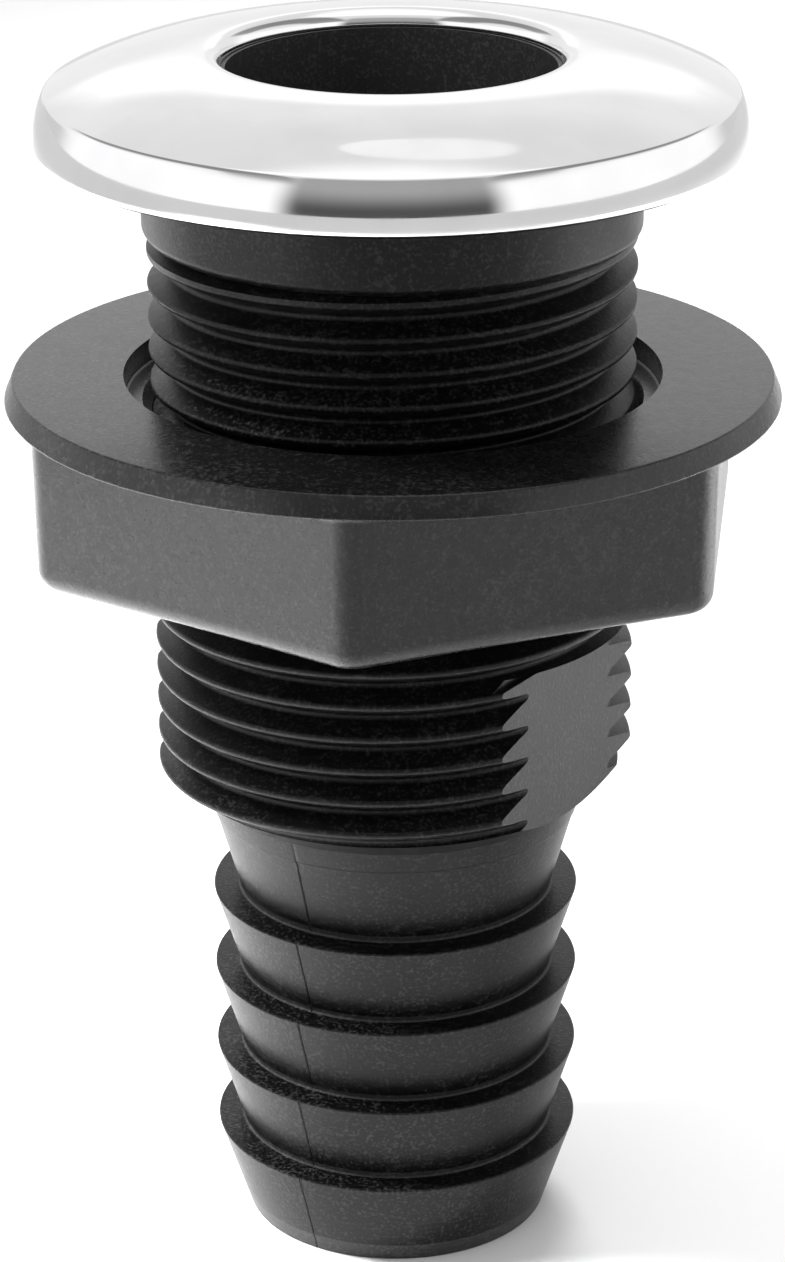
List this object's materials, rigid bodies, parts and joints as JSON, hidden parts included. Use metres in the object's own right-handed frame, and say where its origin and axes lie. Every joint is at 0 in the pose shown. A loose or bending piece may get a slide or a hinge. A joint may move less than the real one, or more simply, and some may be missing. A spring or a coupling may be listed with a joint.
{
  "type": "thru hull fitting",
  "caption": "Thru hull fitting: threaded nylon pipe with a barbed hose tail, a domed steel-capped head and a flanged hex lock nut that clamps it in a hole through a hull.",
  "frame": {"origin": "on the fitting's axis at the end of the hose tail, where it stands", "axes": "+Z along the axis from the hose tail up to the steel-capped head, -Y towards the viewer of the picture"},
  "size_m": [0.053, 0.053, 0.0855],
  "materials": {
    "body_nylon": "moulded black nylon with a fine satin grain",
    "polished_steel": "mirror polished stainless steel",
    "nut_nylon": "moulded black nylon, slightly duller than the body"
  },
  "bodies": {
    "fitting": {"hull_body": "body_nylon", "steel_cap": "polished_steel"},
    "nut": {"lock_nut": "nut_nylon"}
  },
  "joints": [
    {"name": "nut_travel", "type": "slide", "parent": "fitting", "child": "nut", "axis": [0, 0, 1], "range_m": [-0.01616, 0.01154]}
  ]
}
